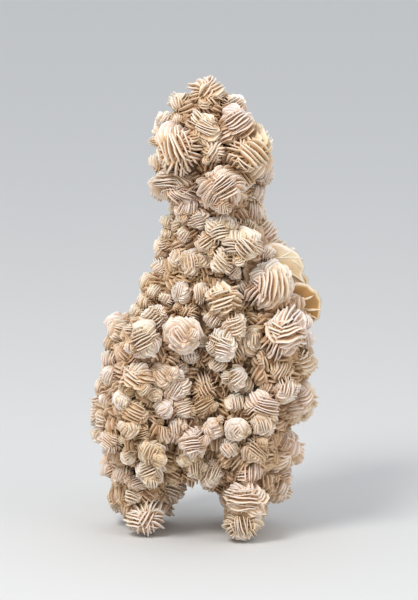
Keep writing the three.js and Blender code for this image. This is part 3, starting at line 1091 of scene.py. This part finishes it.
def closed(rings, top, bottom):
    """A closed surface over rings from the top down, with a middle point at either end."""
    sides = len(rings[0])
    low = (len(rings) - 1) * sides
    end = low + sides
    faces = []
    for s in range(sides):
        after = (s + 1) % sides
        faces += [[end, s, after], [end + 1, low + after, low + s]]
        for start in range(0, low, sides):
            a, b = start + s, start + after
            faces += [[a, a + sides, b], [b, a + sides, b + sides]]
    return np.concatenate([*rings, [top], [bottom]]), np.array(faces)


def ring(sides, x, y, width, depth, z):
    turn = np.linspace(0, 2 * math.pi, sides, endpoint=False)
    return np.stack([x + width * np.cos(turn), y + depth * np.sin(turn), np.full(sides, z)], axis=1)


def lofted(sections):
    """A closed trunk of elliptic rings, inset from its sections."""
    rings = []
    for z, x, width, y, depth in sections:
        width, depth = (max(half - CORE_INSET, LEAST_WIDTH) for half in (width, depth))
        rings.append(ring(CORE_SIDES, x, y, width, depth, max(z, 1.0)))
    points, faces = closed(rings, rings[0].mean(0) + [0, 0, 0.5], rings[-1].mean(0))
    return points - CENTRE, faces


def ball(centre, radii, rings=8, sides=12):
    """A closed ball with its own radii in x, y and z."""
    polar = [math.pi * k / rings for k in range(1, rings)]
    circles = [ring(sides, 0, 0, math.sin(p), math.sin(p), math.cos(p)) for p in polar]
    points, faces = closed(circles, [0, 0, 1], [0, 0, -1])
    return points * np.array(radii) + np.array(centre), faces


def joined(parts):
    """Several meshes' arrays as one, each part's face numbers moved past the points before it."""
    count = 0
    moved = []
    for points, faces, *rest in parts:
        moved.append((points, faces + count, *rest))
        count += len(points)
    return [np.concatenate(arrays) for arrays in zip(*moved)]


def core_piece(rosettes, material):
    """The brown inside that shows at the bottom of the gaps; its brown is partly the gypsum's own and
    partly painted shade.
    """
    parts = [lofted(trunk) for trunk in (BODY, LEFT_LEG, RIGHT_LEG)]
    parts += [ball(np.array(s[:3]) - CENTRE, np.array(s[3:]) - SWELLING_INSET) for s in SWELLINGS]
    inner = [r for r in rosettes if r["radius"] > LEAST_WITH_BALL and r["group"] != "wide_rose"]
    parts += [ball(r["centre"], [CORE_BALL * r["radius"]] * 3, 5, 8) for r in inner]
    points, faces = joined(parts)
    points[:, 2] = np.maximum(points[:, 2], CORE_FLOOR)
    colour = np.tile(RIM_COLOUR, (len(points), 1))
    return mesh_object("core", points, faces, colour, np.full(len(points), CORE_DEPTH), material)


def plate_rosettes():
    """Each plate of the wide rose as a rosette of its own, all with one middle."""
    out = unit(WIDE_ROSE_OUT)
    return [{
        "centre": np.array(WIDE_ROSE_CENTRE) - CENTRE,
        "radius": WIDE_ROSE_RADIUS,
        "out": out,
        "tint": plate[-1],
        "group": "wide_rose",
        "plate": number,
        "facings": np.tile(out, (MOST_PACKETS, 1)),
        "spreads": np.zeros(MOST_PACKETS),
        "squeeze": np.eye(3),
    } for number, plate in enumerate(PLATES)]


def all_rosettes():
    rosettes = [front_rosette(row, group) for group, rows in FRONT.items() for row in rows]
    rosettes += bud_rosettes(rosettes)
    rosettes += back_rosettes()
    rosettes += filler_rosettes(rosettes)
    return rosettes + plate_rosettes()


def grow_all(rosettes):
    """Every blade, by its piece, the steps round its rim and whether its whole disc shows."""
    groups = {}
    for index, rosette in enumerate(rosettes):
        group = rosette["group"]
        if group == "wide_rose":
            ribs = groups.setdefault((group, RIB_STEPS, False), [])
            plates = groups.setdefault((group, PLATE_STEPS, True), [])
            wide_rose(plates, ribs, index, rosette)
            continue
        steps = FILLER_STEPS
        if rosette["style"] != "filler":
            steps, = row_for(rosette["radius"], RIM_STEPS)
        rng = np.random.default_rng(ROSETTE_SEED + index)
        grow_rosette(groups.setdefault((group, steps, False), []), index, rosette, rng)
    return groups


def build_sand_rose():
    rosettes = all_rosettes()
    made = {}
    for (group, steps, whole), rows in grow_all(rosettes).items():
        rng = np.random.default_rng(RIM_SEED + steps)
        made.setdefault(group, []).append(blade_mesh(rows, steps, whole, rosettes, rng))
    material = gypsum_material()
    for group, parts in made.items():
        points, faces, depth, owner = joined(parts)
        colour, depth = colours(points, depth, owner, rosettes)
        points = swayed(points)
        points[:, 2] = np.maximum(points[:, 2], 0.0)
        mesh_object(group, points, faces, colour, depth, material)
    core_piece(rosettes, material)


def floor_and_light():
    floor_mesh = bpy.data.meshes.new("floor")
    corners = [(x * FLOOR_SIZE, y * FLOOR_SIZE, 0) for x, y in ((-1, -1), (1, -1), (1, 1), (-1, 1))]
    floor_mesh.from_pydata(corners, [], [(0, 1, 2, 3)])
    floor = bpy.data.objects.new("floor", floor_mesh)
    bpy.context.scene.collection.objects.link(floor)
    plain = bpy.data.materials.new("floor")
    plain.use_nodes = True
    shader = plain.node_tree.nodes["Principled BSDF"]
    shader.inputs["Base Color"].default_value = FLOOR_COLOUR
    shader.inputs["Roughness"].default_value = FLOOR_ROUGHNESS
    floor_mesh.materials.append(plain)
    world = bpy.data.worlds.new("studio")
    world.use_nodes = True
    sky = world.node_tree.nodes["Background"]
    sky.inputs["Color"].default_value = SKY_COLOUR
    sky.inputs["Strength"].default_value = SKY_STRENGTH
    bpy.context.scene.world = world
    for light in LIGHTS:
        add_area(*light)


def add_area(name, place, size, power, colour):
    light = bpy.data.lights.new(name, "AREA")
    light.size = size
    light.energy = power
    light.color = colour
    lamp = bpy.data.objects.new(name, light)
    lamp.location = place
    lamp.rotation_euler = (LIT_POINT - Vector(place)).to_track_quat("-Z", "Y").to_euler()
    bpy.context.scene.collection.objects.link(lamp)


def camera():
    data = bpy.data.cameras.new("camera")
    data.sensor_fit = "VERTICAL"
    data.sensor_height = SENSOR_HEIGHT
    data.lens = SENSOR_HEIGHT * CAMERA_DISTANCE / FRAME_HEIGHT
    data.clip_end = 60
    eye = bpy.data.objects.new("camera", data)
    back = Vector((0, -math.cos(VIEW_TILT), math.sin(VIEW_TILT)))
    eye.location = CAMERA_AIM + back * CAMERA_DISTANCE
    eye.rotation_euler = (math.pi / 2 - VIEW_TILT, 0, 0)
    bpy.context.scene.collection.objects.link(eye)
    bpy.context.scene.camera = eye


camera()
build_sand_rose()
floor_and_light()
bpy.context.scene.view_settings.view_transform = "Standard"
